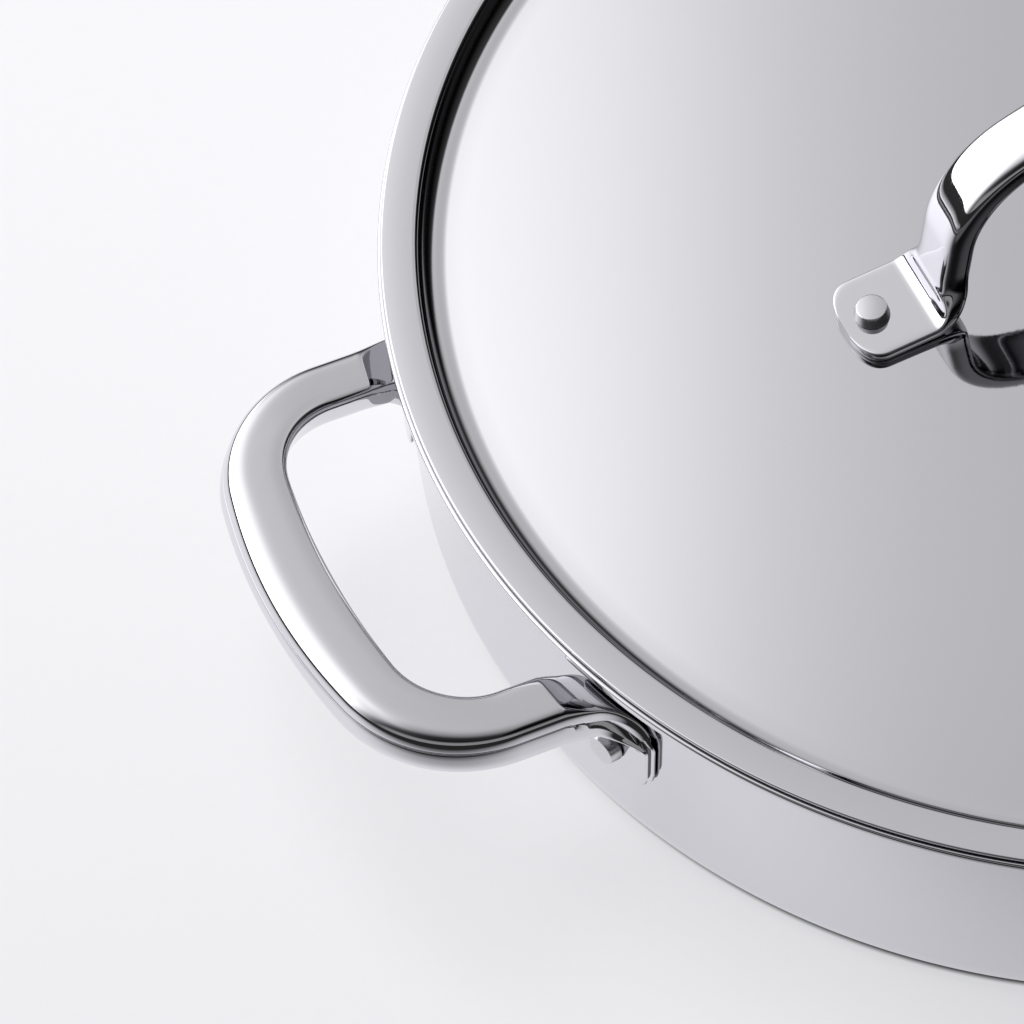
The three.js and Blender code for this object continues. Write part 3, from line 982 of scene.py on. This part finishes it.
@dataclass
class LidHandle:
    """Arched lid handle: an outer channel and an inner strap that pinch flat into riveted ears."""

    lid: Lid
    pressing: Pressing = Pressing()
    rivet: Rivet = Rivet()
    ear_width: float = 18.4
    ear_end: float = 5.5
    ear_margin: float = 5.85
    rivet_step: float = 15.45
    fold: float = 7.5
    leg_half: float = 39.2
    leg_length: float = 10.5
    leg_lean: float = math.radians(4.9)
    corner: float = 20.8
    bow: float = 65.2
    grip_width: float = 12.3
    grip_top: float = 4.25
    grip_power: float = 4.5
    crown: float = 0.8
    taper: float = 4.0
    fold_pitch: float = 0.4

    @property
    def rivet_reach(self) -> float:
        """Distance of a rivet from the middle of the lid."""
        return self.leg_half + self.rivet_step

    @property
    def fold_turn(self) -> float:
        """Angle that the strap turns from the ear up into the leg."""
        return math.pi / 2 - self.leg_lean - self.tilt

    @property
    def tilt(self) -> float:
        """Slope of the dome under the ear, as an angle."""
        return math.atan(2 * self.lid.dome_rise * self.rivet_reach / self.lid.foot[0] ** 2)

    @property
    def under(self) -> Array:
        """Point of the lid's underside on the left rivet's axis."""
        return np.array([-self.rivet_reach, 0.0, self.lid.dome_under(self.rivet_reach)])

    def start(self) -> tuple[Array, Array, Array]:
        """Find where the walk starts, at the left ear's end.

        Returns:
            Place, and the directions of travel and across.
        """
        travel = np.array([math.cos(self.tilt), 0.0, math.sin(self.tilt)])
        across = np.array([0.0, 1.0, 0.0])
        lift = self.lid.sheet + self.pressing.ear_gap + self.pressing.sheet + self.pressing.parting_gap / 2
        place = self.under + np.cross(travel, across) * lift
        place = place - travel * self.ear_margin / math.cos(self.tilt)
        return place, travel, across

    @property
    def ear_length(self) -> float:
        """Flat length of an ear, up to its fold."""
        place, _, _ = self.start()
        fold_run = self.fold * (math.cos(self.leg_lean) - math.sin(self.tilt))
        return (-self.leg_half - fold_run - place[0]) / math.cos(self.tilt)

    def stations(self) -> Stations:
        """Walk along an ear, up the fold and the leg, over the bow and down the same way.

        Returns:
            Frames along the parting line.
        """
        leg_top = self.leg_half - self.leg_length * math.sin(self.leg_lean)
        bow = bow_angle(leg_top, self.corner, self.bow, self.leg_lean)
        root = [
            *self.pressing.ear_moves(self.ear_length, self.ear_end),
            Move(radius=self.fold, angle=-self.fold_turn, pitch=self.fold_pitch),
            Move(length=self.leg_length),
            Move(radius=self.corner, angle=math.pi / 2 - self.leg_lean - bow),
        ]
        place, travel, across = self.start()
        return walk(place, travel, across, [*root, Move(radius=self.bow, angle=2 * bow), *root[::-1]])

    def section(self, from_end: Array) -> Section:
        """Section at each distance from an ear's end: flat ear, then a crowned strap.

        Args:
            from_end: Distance of each station from the nearer ear's end.

        Returns:
            The section at each station.
        """
        fold_end = self.ear_length + self.fold * self.fold_turn
        swell = ramp(from_end, self.ear_length, self.ear_length + self.crown * (fold_end - self.ear_length))
        taper = ramp(from_end, self.ear_length, fold_end + self.taper)
        ear = self.pressing.ear_half(self.ear_width, self.ear_end, from_end)
        level = np.zeros_like(from_end)
        power = blend(self.pressing.ear_power, self.grip_power, swell)
        return Section(
            half=blend(ear, self.grip_width / 2, taper),
            top=blend(self.pressing.sheet, self.grip_top, swell),
            belly=level + self.pressing.sheet,
            power=power,
            under_power=power,
            shear=level,
            shift=level,
            lift=level,
            inner_seam=level,
            outer_seam=level,
            roll=level,
        )

    def build(self, material: Material, rivet_material: Material) -> None:
        """Make the handle with its rivets and dress them.

        Args:
            material: Finish of the shells.
            rivet_material: Finish of the rivets.
        """
        stations = self.stations()
        section = self.section(stations.from_end)
        for half, word in ((Half.UPPER, "outer"), (Half.LOWER, "inner")):
            node = f"lid_handle_{word}_shell"
            points, faces = self.pressing.shell(stations, section, half)
            finish_piece(put_mesh(f"{node}_polished", points, faces), node, "lid", material)
        for side, way in (("left", -1.0), ("right", 1.0)):
            axis = np.array([way * math.sin(self.tilt), 0.0, math.cos(self.tilt)])
            node = f"lid_handle_rivet_{side}"
            place = self.under * np.array([-way, 1.0, 1.0])
            piece = self.rivet.build(f"{node}_spun", self.pressing.grip(self.lid.sheet), place, axis)
            finish_piece(piece, node, "lid", rivet_material)


@dataclass
class Studio:
    """Camera, floor and light: a pale sheet under a bright room that darkens to the right."""

    turn_deg: float = 25.4
    camera_mm: tuple[float, float, float] = (-508.18, -796.77, 1296.63)
    elevation_deg: float = 54.814
    focal_px: float = 8168.1
    image_px: float = 1024.0
    floor_half_mm: float = 4000.0
    floor_gap_mm: float = 0.15
    wall_levels: tuple[Span, ...] = (
        (-1.0, 3.2), (-0.8, 3.0), (-0.62, 1.9), (-0.45, 1.28), (-0.33, 1.26), (-0.23, 1.02), (-0.14, 0.74),
        (-0.03, 0.60), (0.1, 0.56), (0.3, 0.54), (0.47, 0.60), (0.58, 0.62), (0.63, 0.06), (0.72, 0.03),
        (1.0, 0.03),
    )
    front_levels: tuple[Span, ...] = (
        (-1.0, 0.03), (-0.64, 0.03), (-0.5, 0.12), (-0.3, 0.45), (0.0, 0.80), (0.2, 1.02), (0.4, 1.04),
        (0.6, 1.0), (1.0, 1.0),
    )
    wall_slant: float = 0.12
    slant_middle: float = 0.45
    skyline: Span = (0.62, 0.15)
    skyline_side: Span = (-0.5, -0.15)
    skyline_dark: float = 0.94
    skirt_level: float = 0.27
    skirt_height: Span = (0.45, 0.20)
    skirt_front: Span = (-0.45, -0.80)
    even_level: float = 0.25
    lamp_m: tuple[float, float, float] = (-1.0, 0.5, 1.7)
    lamp_size_m: float = 1.6
    lamp_watt: float = 39.0

    def view_axes(self) -> tuple[Vector, Vector]:
        """Directions to the right and away from the camera, on the floor."""
        turn = math.radians(self.turn_deg)
        return Vector((math.cos(turn), -math.sin(turn), 0.0)), Vector((math.sin(turn), math.cos(turn), 0.0))

    def build_camera(self) -> None:
        """Set the camera at the photograph's angle."""
        _, away = self.view_axes()
        tip = math.radians(self.elevation_deg)
        look = away * math.cos(tip) - Vector((0.0, 0.0, math.sin(tip)))
        lens = bpy.data.cameras.new("camera")
        lens.lens = self.focal_px / self.image_px * lens.sensor_width
        camera = bpy.data.objects.new("camera", lens)
        camera.location = Vector(self.camera_mm) * MM
        camera.rotation_euler = look.to_track_quat("-Z", "Y").to_euler()
        bpy.context.scene.collection.objects.link(camera)
        bpy.context.scene.camera = camera

    def build_floor(self) -> None:
        """Lay the floor just under the base: a flat grid of one cell."""
        reach, level = self.floor_half_mm, -self.floor_gap_mm
        corners = np.array([[-reach, -reach, level], [reach, -reach, level],
                            [reach, reach, level], [-reach, reach, level]])
        floor = put_mesh("floor", corners, [[0, 1, 2, 3]])
        floor.data.materials.append(PaleFloor(self.view_axes()[1]).build())

    def build_world(self) -> None:
        """Light the room: white panels on the left, grey to the right, dark about the camera.

        Mirrored rays alone see it: the camera sees plain white, and the rest is lit evenly.
        """
        right, away = self.view_axes()
        world = bpy.data.worlds.new("studio_room")
        bpy.context.scene.world = world
        world.use_nodes = True
        tree = world.node_tree
        tree.nodes.clear()
        place = add_node(tree, "TexCoord").outputs["Generated"]
        sideways = add_dot(tree, place, right)
        forwards = add_dot(tree, place, away)
        height = add_node(tree, "SeparateXYZ", {"Vector": place}).outputs["Z"]
        middle = self.slant_middle * self.wall_slant
        turned_in = add_math(tree, "MULTIPLY_ADD", forwards, -self.wall_slant, middle)
        slanted = add_math(tree, "ADD", sideways, turned_in)
        walls = add_levels(tree, slanted, self.wall_levels)
        panels = add_math(tree, "MULTIPLY", walls, add_levels(tree, forwards, self.front_levels))
        shade = add_math(tree, "MULTIPLY", add_step(tree, height, self.skyline, (0.0, self.skyline_dark)),
                         add_step(tree, sideways, self.skyline_side))
        room = add_math(tree, "MULTIPLY", panels, add_math(tree, "SUBTRACT", 1.0, shade))
        skirt = add_math(tree, "MULTIPLY", add_step(tree, height, self.skirt_height, (0.0, self.skirt_level)),
                         add_step(tree, forwards, self.skirt_front))
        level = add_math(tree, "MULTIPLY", add_math(tree, "MAXIMUM", room, skirt), add_bounce_share(tree))
        path = add_node(tree, "LightPath").outputs
        pure = (1.0, 1.0, 1.0, 1.0)
        mirrored, even, white = [
            add_node(tree, "Background", {"Color": pure, "Strength": strength}).outputs["Background"]
            for strength in (level, self.even_level, 1.0)
        ]
        lit = add_node(tree, "MixShader", {0: path["Is Glossy Ray"], 1: even, 2: mirrored})
        both = add_node(tree, "MixShader", {0: path["Is Camera Ray"], 1: lit.outputs["Shader"], 2: white})
        add_node(tree, "OutputWorld", {"Surface": both.outputs["Shader"]})

    def build_lamp(self) -> None:
        """Hang a wide softbox up to the left, which lights the floor and isn't seen in the steel."""
        right, away = self.view_axes()
        light = bpy.data.lights.new("softbox", "AREA")
        light.size = self.lamp_size_m
        light.energy = self.lamp_watt
        lamp = bpy.data.objects.new("softbox", light)
        sideways, ahead, up = self.lamp_m
        lamp.location = right * sideways + away * ahead + Vector((0.0, 0.0, up))
        lamp.rotation_euler = (-Vector(lamp.location)).to_track_quat("-Z", "Y").to_euler()
        lamp.visible_glossy = False
        bpy.context.scene.collection.objects.link(lamp)

    def build(self) -> None:
        """Build the whole studio."""
        bpy.context.scene.view_settings.view_transform = "Standard"
        self.build_camera()
        self.build_floor()
        self.build_world()
        self.build_lamp()


def main() -> None:
    """Build every sub-assembly in order."""
    logging.basicConfig(level=logging.INFO)
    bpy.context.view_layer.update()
    Studio().build()
    handle_steel = HANDLE_STEEL.build()
    rivet_steel = RIVET_STEEL.build()
    pan = PanBody()
    pan.build(PAN_STEEL.build())
    lid = Lid(pan)
    lid.build(LID_STEEL.build())
    side_handle = SideHandle(pan)
    side_handle.build("right", 1.0, handle_steel, rivet_steel)
    side_handle.build("left", -1.0, handle_steel, rivet_steel)
    LidHandle(lid).build(handle_steel, rivet_steel)


if __name__ == "__main__":
    main()
